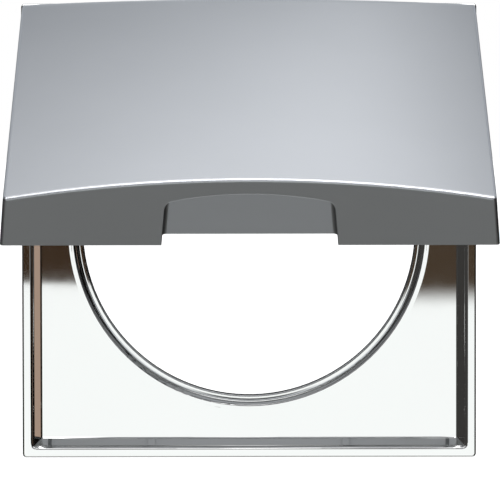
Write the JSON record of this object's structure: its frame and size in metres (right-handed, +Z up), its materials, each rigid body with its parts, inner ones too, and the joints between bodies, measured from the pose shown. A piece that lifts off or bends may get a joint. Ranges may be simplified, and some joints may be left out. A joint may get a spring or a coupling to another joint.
{
  "type": "socket frame with hinged cover",
  "caption": "Square chrome wiring frame with a round opening for a socket insert and a crowned satin cover on a friction hinge.",
  "frame": {"origin": "centre of the round opening, on the shoulder that the insert's flange bears on", "axes": "X right, Z up and -Y towards the user; the wall is at Y = 3.3 mm and the raised rim at Y = -6.2 mm"},
  "size_m": [0.0604, 0.0663, 0.0605],
  "materials": {
    "polished_chrome": "polished",
    "satin_chrome": "satin",
    "pin_steel": "satin",
    "bush_plastic": "satin",
    "spring_steel": "satin"
  },
  "bodies": {
    "frame": {"base_frame": "polished_chrome", "hinge_bush_left": "bush_plastic", "hinge_bush_right": "bush_plastic"},
    "cover": {"cover": "satin_chrome", "hinge_pin_left": "pin_steel", "hinge_pin_right": "pin_steel", "spring_washer_left": "spring_steel", "spring_washer_right": "spring_steel"}
  },
  "joints": [
    {"name": "cover_hinge", "type": "hinge", "parent": "frame", "child": "cover", "pos_m": [0, -0.0094, 0.027], "axis": [-1, 0, 0], "range_deg": [-65.5, 39.5]}
  ]
}
